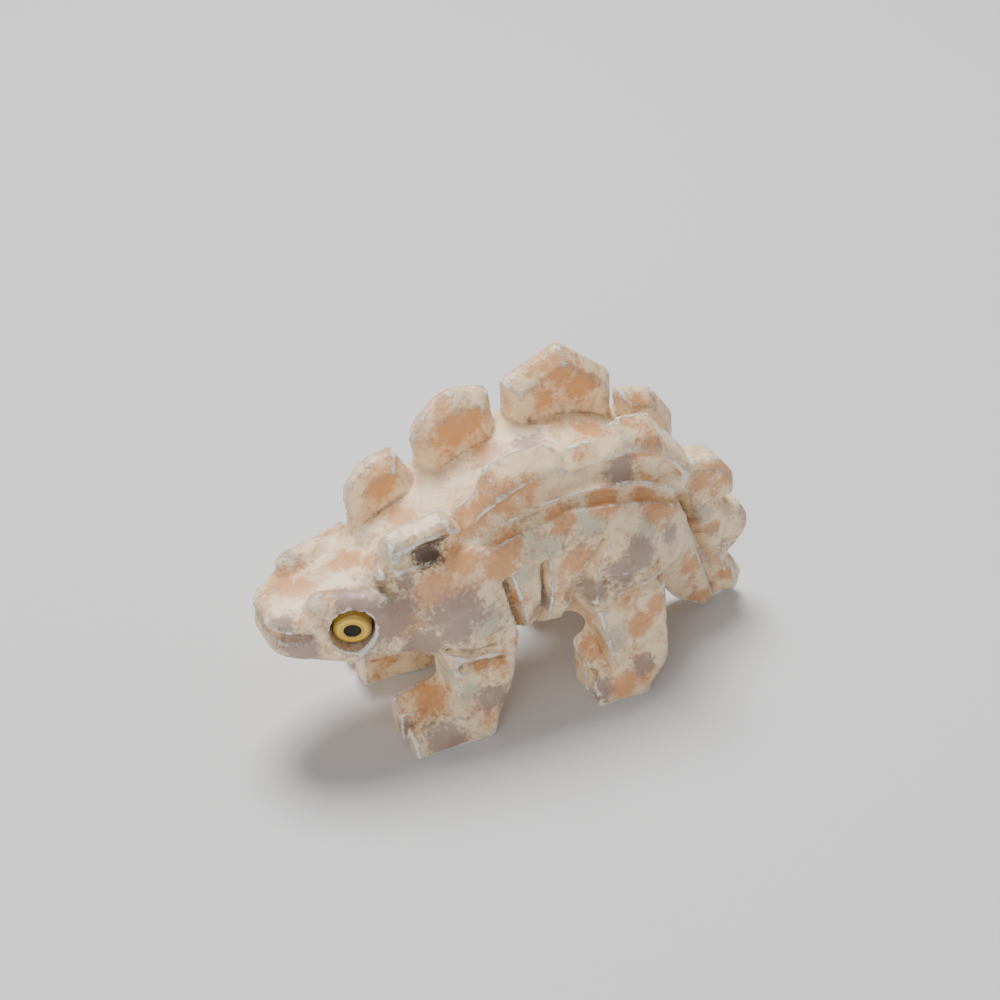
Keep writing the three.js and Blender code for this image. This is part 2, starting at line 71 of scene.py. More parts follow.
# Each plate's outline seen from the side, and how far its top falls for each millimetre outwards.
PLATES = {
    "left": [
        (0.15, [(-16.0, 18.5), (-14.7, 21.9), (-9.4, 22.9), (-7.8, 21.4), (-7.8, 18.0)]),
        (0.7, [(-7.5, 20.4), (-5.0, 26.1), (-2.1, 26.8), (1.6, 26.3), (3.2, 24.0), (3.4, 20.0)]),
        (0.7, [(3.6, 21.0), (5.0, 24.4), (8.0, 27.3), (11.3, 26.8), (15.6, 21.6), (14.6, 18.5)]),
    ],
    "right": [
        (0, [(-15.6, 17.0), (-14.4, 22.2), (-12.8, 23.9), (-9.9, 24.5), (-8.0, 21.0), (-8.0, 17.0)]),
        (0, [(-7.2, 19.0), (-8.1, 25.2), (-7.1, 27.1), (-4.3, 28.8), (-0.5, 28.2), (0.6, 20.0)]),
        (0, [(1.3, 21.0), (1.1, 28.1), (6.8, 30.6), (12.0, 26.6), (12.2, 19.0)]),
        (0, [(12.8, 18.0), (12.8, 24.3), (16.7, 23.2), (18.8, 20.4), (19.0, 17.4), (16.0, 15.5)]),
    ],
}
PLATE_INNER = {"left": 2.9, "right": 3.1}
PLATE_OUTER = {"left": 5.3, "right": 5.4}
PLATE_BEVEL = {"left": 0.5, "right": 1.1}
PLATE_LEAN = 0.05
PLATE_EDGE = 0.2

# The hollow filed along the foot of the plates and the narrow groove below it: height and radius along X.
# A radius below zero leaves the stone uncut.
HOLLOW_X = [-15.4, -12, -9, -7, -5, -1, 3, 6, 9, 12, 15]
HOLLOW_Z = [19.3, 20.1, 20.2, 20.6, 21.8, 23.1, 23.0, 23.1, 22.9, 21.5, 19.6]
HOLLOW_RADIUS = [-0.1, 1.3, 1.15, 0.95, 1.3, 1.6, 1.2, 1.3, 1.6, 1.4, -0.2]
HOLLOW_FACE = 4.6
GROOVE_X = [-9, -6.2, -3.3, -0.5, 3.5, 9.4, 13.6]
GROOVE_Z = [19.3, 19.75, 20.5, 20.95, 21.1, 20.05, 18.2]
GROOVE_RADIUS = [-0.1, 0.45, 0.65, 0.7, 0.7, 0.7, 0.6]
GROOVE_Y = 5.85
FILE_EDGE = 0.1

TAIL_LOBE = [(9.0, 18.4), (13.6, 18.0), (17.6, 9.6), (21.6, 1.3), (20.4, 0.2), (16.5, 3.0), (12.9, 7.5), (9.0, 12.6)]
TAIL_WEB = [(12.0, 18.6), (18.4, 17.0), (22.6, 9.0), (23.6, 1.0), (21.2, 0.6), (14.0, 10.0)]
TAIL_CREST = [(14.9, 18.2), (18.6, 17.8), (21.9, 12.7), (23.1, 5.8), (23.9, 1.0), (23.2, 0.6)]
TAIL_ROOT = (12, 15)
TAIL_TIP = (22, 0.5)
TAIL_HALF = (5.6, 1.1)
TAIL_WEB_HALF = 0.9
TAIL_CREST_HALF = (2.2, 1.3)
TAIL_BEVEL = 0.8
TAIL_SLOT_AT = (13.6, 18.0)
TAIL_SLOT_FACING = (0.902, 0.432)
TAIL_SLOT_WIDTH = 1.2
TAIL_SLOT_TOP = 19.5
TAIL_SLOT_FALL = 6
TAIL_SLOT_FLOOR = (6.0, 0.7)
TAIL_PLATES = [
    [(16.4, 17.4), (17.5, 18.5), (20.8, 17.7), (22.8, 15.4), (23.0, 12.9), (19.5, 12.4)],
    [(20.6, 12.2), (23.9, 11.5), (25.0, 9.6), (25.0, 8.0), (23.3, 5.8), (21.5, 6.5)],
    [(22.4, 5.4), (23.6, 5.0), (25.0, 2.8), (24.6, 0.5), (23.0, 0.5)],
]

SNOUT_X = -25
HEAD_BACK_X = -13.5
SNOUT_HALF = 2.9
CHEEK_FLARE = 0.5
CHEEK_HALF = 6.2
JAW_Z = 11.6
JAW_FALL = 0.1
SNOUT_TOP_Z = 15.7
FOREHEAD_RISE = 0.2
BROW = ((-20.6, 3.4, 16.3), (-16.2, 4.7, 16.0), 1.45)
LIP = ((-24.4, 1.4, 14.7), (-21.4, 3.9, 15.2), 0.75)

EYE_CENTRE = Vector((-18.75, -5.4, 14.5))
EYE_FACING = Vector((-0.4, -0.9, -0.15)).normalized()
EYE_RADIUS = 1.65
EYE_THICKNESS = 1.1
EYE_DOME = 0.15
PUPIL_RADIUS = 0.75
PUPIL_DEPTH = 0.25
SOCKET_RADIUS = 1.95
SOCKET_DEPTH = 1.4

# Legs as tapered blocks between two levels: x range, y range outwards, then planes that trim them.
FRONT_LEG = {
    "low": (0, (-9.6, -4.9), (3.2, 8.2)),
    "high": (12, (-10.6, -3.0), (2.8, 7.4)),
    "trims": [((-6.7, 6, 0), (0.88, 0, -0.48))],
}
FRONT_FOOT = {
    "low": (0, (-14.3, -6.6), (3.0, 8.5)),
    "high": (4.4, (-14.6, -6.0), (3.1, 7.6)),
    "trims": [((-12, 7.6, 2.6), (-0.2, 0.37, 0.9)), ((-6.7, 6, 0), (0.88, 0, -0.48))],
}
SHOULDER = ((-8.2, 4.6, 13.0), (4.6, 3.3, 5.4))
HIND_LEG = {
    "low": (0, (6.5, 11.6), (5.2, 9.8)),
    "high": (12, (3.2, 11.2), (3.4, 8.2)),
    "trims": [((8.9, 8, 0), (0.74, 0, -0.67))],
}
HIND_FOOT = {
    "low": (0, (3.8, 9.6), (4.9, 9.8)),
    "high": (7.4, (3.1, 10.4), (4.4, 8.8)),
    "trims": [((4.6, 9.5, 1.9), (-0.44, 0.55, 0.71)), ((8.9, 8, 0), (0.74, 0, -0.67))],
}
THIGH = ((7.6, 5.0, 13.4), (4.4, 3.4, 5.2))

# Incised lines on the flanks as (x, z) points, half width at both ends, depth.
CUTS = [
    ([(-4.7, 16.0), (-2.7, 9.0)], (0.5, 0.65), 1.3),
    ([(-0.9, 16.5), (-0.6, 8.6)], (0.5, 0.6), 1.2),
    ([(4.9, 17.0), (3.6, 14.8)], (0.5, 0.7), 1.4),
    ([(3.6, 14.8), (2.6, 12.3), (3.0, 8.2)], (0.7, 1.5), 1.5),
    ([(-10.2, 10.4), (-8.2, 9.5), (-6.0, 9.5)], (0.6, 0.45), 0.6),
    ([(-9.2, 8.2), (-5.2, 7.8)], (0.6, 0.45), 0.6),
    ([(5.2, 12.9), (10.9, 12.9)], (0.6, 0.5), 0.35),
    ([(4.2, 10.6), (10.7, 11.4)], (0.6, 0.5), 0.35),
    ([(-15.3, 20.4), (-14.6, 17.8)], (0.6, 0.4), 0.6),
]
CUT_STEEPNESS = 1.8
FLANK_INNER = 3.6
MOUTH_Z = 14.0
MOUTH_BACK = -21.8
MOUTH_HALF = 0.5
MOUTH_DEPTH = 0.7
TOE_NOTCHES = [(-14.0, 5.9), (4.0, 7.6)]
TOE_NOTCH_RADIUS = 0.55


def blend_min(a, b, k):
    h = np.maximum(k - np.abs(a - b), 0)
    return np.minimum(a, b) - h * h / (4 * k)


def blend_max(a, b, k):
    return -blend_min(-a, -b, k)


def lerp(a, b, t):
    return a + (b - a) * t


def curve(xs, values, x):
    """A smooth curve through the stations, bending evenly past the end ones."""
    x = min(max(x, xs[0]), xs[-1])
    i = max(j for j in range(len(xs) - 1) if xs[j] <= x)
    before = xs[i - 1] if i else xs[i + 1]
    after = xs[i + 2] if i + 2 < len(xs) else xs[i]
    v0 = values[i - 1] if i else values[i + 1]
    v3 = values[i + 2] if i + 2 < len(xs) else values[i]
    half = (xs[i + 1] - xs[i]) / 2
    w0 = half / (xs[i] - before)
    w3 = half / (after - xs[i + 1])
    p = (x - xs[i]) / (xs[i + 1] - xs[i])
    s0 = w0 * (-p ** 3 + 2 * p ** 2 - p)
    s1 = (1 + w0) * p ** 3 - (1.5 + 2 * w0) * p ** 2 + (w0 - 0.5) * p + 1
    s2 = -(1 + w3) * p ** 3 + (1.5 + w3) * p ** 2 + 0.5 * p
    s3 = w3 * (p ** 3 - p ** 2)
    return s0 * v0 + s1 * values[i] + s2 * values[i + 1] + s3 * v3


def along_x(xs, values, x):
    return np.array([curve(xs, values, v) for v in x.ravel()], np.float32).reshape(x.shape)


def outline(points, x, z, k):
    """Distance to a convex outline seen from the side, with corners rounded by k."""
    d = None
    for i, (ax, az) in enumerate(points):
        bx, bz = points[(i + 1) % len(points)]
        side = ((ax - x) * (bz - az) - (az - z) * (bx - ax)) / math.hypot(bx - ax, bz - az)
        d = side if d is None else blend_max(d, side, k)
    return d


def tapered_block(shape, x, out, z, k):
    low_z, low_x, low_y = shape["low"]
    high_z, high_x, high_y = shape["high"]
    t = (z - low_z) / (high_z - low_z)
    dx = np.maximum(lerp(low_x[0], high_x[0], t) - x, x - lerp(low_x[1], high_x[1], t))
    dy = np.maximum(lerp(low_y[0], high_y[0], t) - out, out - lerp(low_y[1], high_y[1], t))
    d = blend_max(blend_max(dx, dy, k), z - high_z, k)
    for at, facing in shape["trims"]:
        plane = (x - at[0]) * facing[0] + (out - at[1]) * facing[1] + (z - at[2]) * facing[2]
        d = blend_max(d, plane, k)
    return d


def ellipsoid(shape, x, y, z):
    centre, size = shape
    q = np.sqrt(sum(((v - c) / r) ** 2 for v, c, r in zip((x, y, z), centre, size)))
    return (q - 1) * min(size)


def capsule(shape, x, y, z):
    a, b, radius = shape
    run = [q - p for p, q in zip(a, b)]
    t = sum((v - p) * r for v, p, r in zip((x, y, z), a, run)) / sum(r * r for r in run)
    t = np.clip(t, 0, 1)
    return np.sqrt(sum((v - p - t * r) ** 2 for v, p, r in zip((x, y, z), a, run))) - radius


def trunk(x, y, z):
    top = along_x(TRUNK_X, TRUNK_TOP, x)
    bottom = along_x(TRUNK_X, TRUNK_BOTTOM, x)
    half = along_x(TRUNK_X, TRUNK_HALF, x)
    middle = (top + bottom) / 2
    height = (top - bottom) / 2
    n = TRUNK_SQUARENESS
    q = (np.abs(y / half) ** n + np.abs((z - middle) / height) ** n) ** (1 / n)
    d = (q - 1) * np.minimum(half, height)
    rump = (x - RUMP_AT[0]) * RUMP_FACING[0] + (z - RUMP_AT[1]) * RUMP_FACING[1]
    return blend_max(blend_max(d, TRUNK_X[0] - x, 2), rump, RUMP_EDGE)


def by_side(y, pair):
    return np.where(y < 0, pair["left"], pair["right"]).astype(np.float32)


def crest(x, y, z):
    out = np.abs(y)
    growth = np.clip((x - VALLEY_START_X) / VALLEY_GROWTH, 0, 1)
    reach = np.minimum(out / VALLEY_HALF, by_side(y, VALLEY_REACH))
    floor = along_x(SPINE_X, SPINE_Z, x) + by_side(y, VALLEY_RISE) * growth * reach ** 2
    shoulder = (out - VALLEY_HALF + CREST_SLOPE * (z - floor)) / math.hypot(1, CREST_SLOPE)
    wall = np.where(y < 0, np.maximum(shoulder, out - CREST_HALF), out - CREST_HALF)
    d = blend_max(blend_max(z - floor, wall, 0.4), CREST_BOTTOM - z, 1)
    return blend_max(blend_max(d, SPINE_X[0] - x, 1), x - by_side(y, CREST_END_X), 1)


def back_plates(x, y, z, side):
    out = np.abs(y) - PLATE_LEAN * (z - 21)
    inner = PLATE_INNER[side] - out
    outer = out - PLATE_OUTER[side]
    d = None
    for fall, corners in PLATES[side]:
        rim = outline(corners, x, z - fall * inner, PLATE_EDGE)
        plate = blend_max(rim, np.maximum(inner, outer), PLATE_EDGE)
        bevel = (rim + (outer if side == "left" else inner) + PLATE_BEVEL[side]) / math.sqrt(2)
        plate = blend_max(plate, bevel, PLATE_EDGE)
        d = plate if d is None else np.minimum(d, plate)
    return d


def channel(xs, heights, radii, x, out, z, centre):
    """Distance to a round hollow that runs along X on both flanks; centre gives its place across from its radius."""
    radius = along_x(xs, radii, x)
    return np.hypot(out - centre(radius), z - along_x(xs, heights, x)) - radius


def filed_lines(x, y, z):
    out = np.abs(y)
    hollow = channel(HOLLOW_X, HOLLOW_Z, HOLLOW_RADIUS, x, out, z, lambda radius: HOLLOW_FACE + radius)
    groove = channel(GROOVE_X, GROOVE_Z, GROOVE_RADIUS, x, out, z, lambda radius: GROOVE_Y)
    return np.minimum(hollow, groove)


def tail_slot(x, y, z):
    across = (x - TAIL_SLOT_AT[0]) * TAIL_SLOT_FACING[0] + (z - TAIL_SLOT_AT[1]) * TAIL_SLOT_FACING[1]
    floor = lerp(*TAIL_SLOT_FLOOR, np.clip((TAIL_SLOT_TOP - z) / TAIL_SLOT_FALL, 0, 1))
    return np.maximum(np.maximum(-across, across - TAIL_SLOT_WIDTH), floor - np.abs(y))


def tail(x, y, z):
    out = np.abs(y)
    run = (TAIL_TIP[0] - TAIL_ROOT[0], TAIL_TIP[1] - TAIL_ROOT[1])
    t = ((x - TAIL_ROOT[0]) * run[0] + (z - TAIL_ROOT[1]) * run[1]) / (run[0] ** 2 + run[1] ** 2)
    t = np.clip(t, -0.2, 1)
    lobe = blend_max(outline(TAIL_LOBE, x, z, 0.4), out - lerp(*TAIL_HALF, t), 0.4)
    web = np.maximum(outline(TAIL_WEB, x, z, 0.5), out - TAIL_WEB_HALF)
    rim = outline(TAIL_CREST, x, z, 0.3)
    for corners in TAIL_PLATES:
        rim = blend_min(rim, outline(corners, x, z, 0.4), 0.15)
    face = out - lerp(*TAIL_CREST_HALF, t)
    crown = blend_max(blend_max(rim, face, 0.2), (rim + face + TAIL_BEVEL) / math.sqrt(2), 0.2)
    return np.minimum(np.minimum(lobe, web), crown)


def head(x, y, z):
    out = np.abs(y)
    along = x - SNOUT_X
    cheek = (out - SNOUT_HALF - CHEEK_FLARE * along) / math.hypot(1, CHEEK_FLARE)
    cheek = np.maximum(cheek, out - CHEEK_HALF)
    top = z - SNOUT_TOP_Z - FOREHEAD_RISE * along + 0.05 * out * out
    jaw = JAW_Z - JAW_FALL * along - z
    d = blend_max(cheek, np.maximum(SNOUT_X - x, x - HEAD_BACK_X), 1.5)
    d = blend_max(blend_max(d, top, 0.8), jaw, 1)
    d = blend_min(d, blend_max(capsule(BROW, x, out, z), cheek - 0.1, 0.3), 0.5)
    return blend_min(d, capsule(LIP, x, out, z), 0.3)


def legs(x, y, z):
    out = np.abs(y)
    front = blend_min(tapered_block(FRONT_LEG, x, out, z, 0.8), tapered_block(FRONT_FOOT, x, out, z, 0.4), 1)
    hind = blend_min(tapered_block(HIND_LEG, x, out, z, 0.8), tapered_block(HIND_FOOT, x, out, z, 0.4), 0.5)
    front = blend_min(front, ellipsoid(SHOULDER, x, out, z), 1)
    return np.minimum(front, blend_min(hind, ellipsoid(THIGH, x, out, z), 0.8))


def incision(x, z):
    deepest = np.zeros(np.broadcast(x, z).shape, np.float32)
    for line, halves, depth in CUTS:
        for (ax, az), (bx, bz) in zip(line, line[1:]):
            run = (bx - ax) ** 2 + (bz - az) ** 2
            t = np.clip(((x - ax) * (bx - ax) + (z - az) * (bz - az)) / run, 0, 1)
            off = np.hypot(x - lerp(ax, bx, t), z - lerp(az, bz, t))
            deepest = np.maximum(deepest, depth * np.clip(CUT_STEEPNESS * (1 - off / lerp(*halves, t)), 0, 1))
    return deepest


def eye_sockets(x, y, z):
    """Distance to the two drilled holes."""
    out = -np.abs(y)
    offset = [v - c for v, c in zip((x, out, z), EYE_CENTRE)]
    height = sum(o * f for o, f in zip(offset, EYE_FACING))
    radius = np.sqrt(np.maximum(sum(o * o for o in offset) - height ** 2, 0))
    return np.maximum(radius - SOCKET_RADIUS, -height - SOCKET_DEPTH)


def stone_distance(x, y, z):
    d = blend_min(trunk(x, y, z), crest(x, y, z), 0.4)
    d = blend_min(d, tail(x, y, z), 0.4)
    d = blend_min(d, head(x, y, z), 0.8)
    d = blend_min(d, legs(x, y, z), 0.7)
    for side, chosen in (("left", y.ravel() < 0), ("right", y.ravel() >= 0)):
        part = back_plates(x, y[:, chosen], z, side)
        d[:, chosen] = blend_min(d[:, chosen], part, 0.15)
    d = blend_max(d, -filed_lines(x, y, z), FILE_EDGE)
    d = np.maximum(d, -tail_slot(x, y, z))
    d += incision(x, z) * np.clip(np.abs(y) - FLANK_INNER, 0, 1)
    mouth = MOUTH_DEPTH * np.clip(1 - np.abs(z - MOUTH_Z) / MOUTH_HALF, 0, 1)
    d += np.where(x < MOUTH_BACK, mouth, 0)
    for toe_x, toe_y in TOE_NOTCHES:
        notch = TOE_NOTCH_RADIUS - np.hypot(x - toe_x, np.abs(y) - toe_y)
        d = np.where(z < 3, blend_max(d, notch, 0.2), d)
    d = np.maximum(d, -eye_sockets(x, y, z))
    return np.maximum(d, -z)


def surface_of(distance, low, high, step):
    """The closed surface where the distance is zero, in metres."""
    x, y, z = [np.arange(a, b, step, dtype=np.float32) for a, b in zip(low, high)]
    values = distance(x[:, None, None], y[None, :, None], z[None, None, :]).astype(np.float32)
    grid = openvdb.FloatGrid(float(step * 3))
    grid.copyFromArray(np.clip(values, -3 * step, 3 * step))
    points, quads = grid.convertToQuads(isovalue=0.0)
    return (points * step + np.array(low, np.float32)) * MM, quads


def new_piece(name, points, faces):
    mesh = bpy.data.meshes.new(name)
    mesh.from_pydata(points.tolist(), [], faces.tolist())
    mesh.update()
    mesh.shade_smooth()
    piece = bpy.data.objects.new(name, mesh)
    bpy.context.scene.collection.objects.link(piece)
    return piece

# Where each pigment of the stone shows, as (x, y, z, radius): the left side, head and plates.
STAINS = {
    "orange": [
        (-11, -6.5, 16.8, 2.1), (-7.2, -7.2, 7.9, 0.9), (-11.4, -5.1, 3.7, 1.7), (-10.2, -8.5, 0.3, 1.1),
        (-11.7, 3.2, 22.2, 1.7), (-4.7, 3.3, 25.8, 1.9), (-2.9, 3.4, 26.3, 1.3), (-11, 1.2, 19.8, 1.5),
        (-2, 1.9, 23.2, 1.5), (-4.4, -5.4, 23.2, 2.1), (-6.2, -4.9, 22.2, 1.3), (-1.6, -5.4, 23.7, 1.5),
        (-5.3, -7.1, 17.9, 1.7), (-4.2, -6.4, 19.4, 1.5), (10.7, -5.5, 24.1, 1.3), (9.5, -5.4, 23.2, 1.1),
        (18.4, -2.1, 16.1, 1.3), (20.3, -1.8, 10.1, 0.9), (22.9, -1.4, 3.3, 1.0), (17.5, -3.2, 7.9, 1.5),
        (11, -6.5, 18.1, 1.3), (2, -7.4, 16.2, 1.5), (8.2, -8.8, 7.6, 1.3), (9.9, -8.6, 9.2, 1.1),
        (6.3, -9.8, 1.9, 1.5), (6.2, 3.5, 28.8, 1.5), (8.3, 3.4, 26.7, 1.5), (4.6, 3.4, 26.2, 1.1),
        (14.6, 3.2, 23.3, 1.1), (7.9, 0.8, 23.5, 1.5), (5.5, -5.4, 20.3, 1.5), (9.8, -5.1, 19.3, 1.3),
        (1.1, -6.1, 20.1, 1.3), (-8.6, -5.9, 18.9, 1.5), (-19.7, -3.2, 17.7, 1.5), (-21.4, -0.4, 16.4, 1.3),
        (-16.7, 0.5, 17.5, 1.3), (-15, -1.6, 18.2, 1.1),
    ],
    "lilac": [
        (-16.8, -5.8, 15.2, 3.4), (-18.5, -4.6, 17.2, 1.5), (-23.1, -3.9, 13.1, 1.6), (-13.6, -5.1, 17.8, 1.0),
        (-9.9, -7.6, 14, 2.6), (-12.6, -6.2, 11, 2.3), (-6.5, -8.1, 4.1, 1.4), (-11.3, -8.3, 1.1, 2.1),
        (-14.2, -5.4, 1.5, 0.9), (1.6, 1.1, 23.7, 1.1), (7.9, -5.4, 22.8, 1.5), (12.3, -6.7, 15.2, 1.1),
        (8.4, -8.2, 15.1, 1.7), (6.5, -8.3, 13.5, 1.7), (4, -7.1, 12, 1.5), (-0.8, -6.1, 11.9, 1.3),
        (4.1, -9, 1.6, 1.1), (8.4, -9.6, 3.4, 1.1), (-23.8, -2.7, 15.1, 0.9),
    ],
    "green": [
        (-14.1, -6.2, 15.2, 1.1), (-7, -7.9, 12.6, 1.9), (-10.2, -5.8, 7.1, 1.6), (-8.8, -7.8, 5.7, 0.9),
        (-13.7, -4.7, 20.9, 1.5), (-1.7, -6.9, 18.8, 1.5), (-3.4, -7.4, 16.2, 1.1), (18.9, -1.9, 12.1, 1.1),
        (9.6, -7.3, 17.2, 1.3), (3.7, -6.7, 19.6, 1.5), (-0.6, -7, 18.2, 1.3), (5.3, -8.8, 6.9, 1.5),
        (-14.6, 1.4, 18.3, 1.1),
    ],
    "brown": [(-11.4, -4.5, 19.7, 1.5), (-10.2, -5.3, 20.6, 0.9)],
}
# How strongly each pigment also comes and goes in the stone by itself, and the size of those clouds.
CLOUDS = {"orange": (0.55, 4.0), "lilac": (0.35, 5.5), "green": (0.3, 5.0), "brown": (0.0, 4.0)}


def cloud(points, size, offset, octaves=3):
    """Soft noise between about -1 and 1 at each point, for features of this size."""
    shift = Vector((offset, 1.7 * offset, 2.3 * offset))
    values = [noise.fractal(Vector(p) / size + shift, 1.0, 2.0, octaves) for p in points]
    return np.array(values, np.float32)


def edges_of(mesh):
    pairs = np.empty(len(mesh.edges) * 2, np.int32)
    mesh.edges.foreach_get("vertices", pairs)
    return pairs.reshape(-1, 2)


def averaged(values, pairs, rounds):
    """Each vertex's value mixed with its neighbours', again and again."""
    count = len(values)
    both = np.concatenate([pairs, pairs[:, ::-1]])
    number = np.bincount(both[:, 0], minlength=count)[:, None]
    for _ in range(rounds):
        total = [np.bincount(both[:, 0], values[both[:, 1], i], count) for i in range(values.shape[1])]
        values = (values + np.stack(total, 1) / number) / 2
    return values


def read_points(mesh):
    points = np.empty(len(mesh.vertices) * 3, np.float32)
    mesh.vertices.foreach_get("co", points)
    return points.reshape(-1, 3) / MM


def read_normals(mesh):
    normals = np.empty(len(mesh.vertices) * 3, np.float32)
    mesh.vertices.foreach_get("normal", normals)
    return normals.reshape(-1, 3)


def bulge(mesh, rounds):
    """How far each vertex stands out of the surface around it: positive on edges, negative in grooves."""
    points = read_points(mesh)
    around = averaged(points, edges_of(mesh), rounds)
    return np.einsum("ij,ij->i", points - around, read_normals(mesh))


def carve_by_hand(mesh):
    """Makes the even surface slightly uneven, as a hand-held file leaves it, and chips and blunts its edges."""
    points = read_points(mesh)
    normals = read_normals(mesh)
    edge = np.clip(bulge(mesh, 10) / 0.12, 0, 1)
    uneven = 0.06 * cloud(points, 3.2, 1.0) + 0.02 * cloud(points, 1.0, 2.0)
    chips = 0.25 * edge * np.clip(cloud(points, 1.1, 3.0) - 0.05, 0, 1)
    depth = uneven - chips
    keep_flat = np.clip(points[:, 2] / 0.4, 0, 1)
    moved = points + normals * (depth * keep_flat)[:, None]
    moved[:, 2] = np.maximum(moved[:, 2], 0)
    mesh.vertices.foreach_set("co", (moved * MM).ravel())
    mesh.update()


def set_attribute(mesh, name, values):
    attribute = mesh.attributes.new(name, "FLOAT", "POINT")
    attribute.data.foreach_set("value", np.clip(values, 0, 1).astype(np.float32))


def stain_stone(mesh):
    """Records on the mesh where each pigment is, where the edges are chalky with wear and carry a painted highlight,
    and where the cuts and creases carry painted shade.
    """
    points = read_points(mesh)
    for n, (pigment, places) in enumerate(STAINS.items()):
        strength, size = CLOUDS[pigment]
        amount = strength * (0.5 + cloud(points, size, 10.0 + n))
        for x, y, z, radius in places:
            away = np.sum((points - np.array((x, y, z))) ** 2, 1) / (1.25 * radius) ** 2
            amount = np.maximum(amount, np.exp(-away))
        set_attribute(mesh, pigment, amount)
    narrow = bulge(mesh, 4)
    wide = bulge(mesh, 24)
    # Pale chalky wear on edges and ridges, which also serves as a painted highlight along them.
    set_attribute(mesh, "worn_and_highlit", narrow / 0.05 * 0.6 + wide / 0.3 * 0.5)
    # Painted shade: darkening in the grooves, cuts, notches and creases.
    set_attribute(mesh, "crease_shade", -narrow / 0.06 * 0.5 - wide / 0.35 * 0.6)


class Shader:
    """A small helper that adds nodes to one material and joins them up."""

    def __init__(self, name):
        self.material = bpy.data.materials.new(name)
        self.material.use_nodes = True
        self.tree = self.material.node_tree
        self.surface = self.tree.nodes["Principled BSDF"]

    def add(self, kind, sockets=(), **settings):
        made = self.tree.nodes.new(kind)
        for key, value in settings.items():
            setattr(made, key, value)
        for key, value in dict(sockets).items():
            self.feed(made.inputs[key], value)
        return made

    def feed(self, socket, value):
        if isinstance(value, bpy.types.NodeSocket):
            self.tree.links.new(value, socket)
        else:
            socket.default_value = value

    def math(self, operation, a, b=0.0, clamp=False):
        return self.add("ShaderNodeMath", {0: a, 1: b}, operation=operation, use_clamp=clamp).outputs[0]

    def attribute(self, name):
        return self.add("ShaderNodeAttribute", attribute_name=name).outputs["Fac"]

    def position(self, scale=(1000, 1000, 1000), turn=(0, 0, 0)):
        """Place on the object in millimetres, or stretched and turned."""
        place = self.add("ShaderNodeTexCoord").outputs["Object"]
        sockets = {"Vector": place, "Scale": scale, "Rotation": turn}
        return self.add("ShaderNodeMapping", sockets).outputs["Vector"]

    def noise(self, place, scale, detail=4.0, roughness=0.55, distortion=0.0):
        sockets = {"Vector": place, "Scale": scale, "Detail": detail, "Roughness": roughness, "Distortion": distortion}
        return self.add("ShaderNodeTexNoise", sockets).outputs["Fac"]

    def step(self, value, low, high):
        sockets = {"Value": value, "From Min": low, "From Max": high}
        return self.add("ShaderNodeMapRange", sockets, interpolation_type="SMOOTHSTEP").outputs["Result"]

    def mix(self, factor, a, b):
        made = self.add("ShaderNodeMix", data_type="RGBA")
        self.feed(made.inputs["Factor"], factor)
        self.feed(made.inputs[6], a)
        self.feed(made.inputs[7], b)
        return made.outputs[2]

    def bump(self, height, distance, strength=1.0, below=None):
        sockets = {"Height": height, "Distance": distance, "Strength": strength}
        if below is not None:
            sockets["Normal"] = below
        return self.add("ShaderNodeBump", sockets).outputs["Normal"]


def linear(red, green, blue):
    """A screen colour, 0 to 255, as the linear colour a shader works in."""
    values = [v / 255 for v in (red, green, blue)]
    return tuple(v / 12.92 if v <= 0.04045 else ((v + 0.055) / 1.055) ** 2.4 for v in values) + (1.0,)


CREAM = linear(238, 214, 172)
BLUSH = linear(222, 186, 148)
ORANGE = linear(206, 140, 82)
LILAC = linear(150, 126, 116)
GREEN = linear(182, 180, 156)
BROWN = linear(72, 52, 46)
# Pale chalk of worn edges, also used as a painted highlight along the edges and ridges.
CHALK_AND_HIGHLIGHT = linear(250, 244, 232)
# Dark brown of the stone's small specks, also used as painted shade in the grooves and creases.
SPECK_AND_SHADE = linear(98, 72, 46)


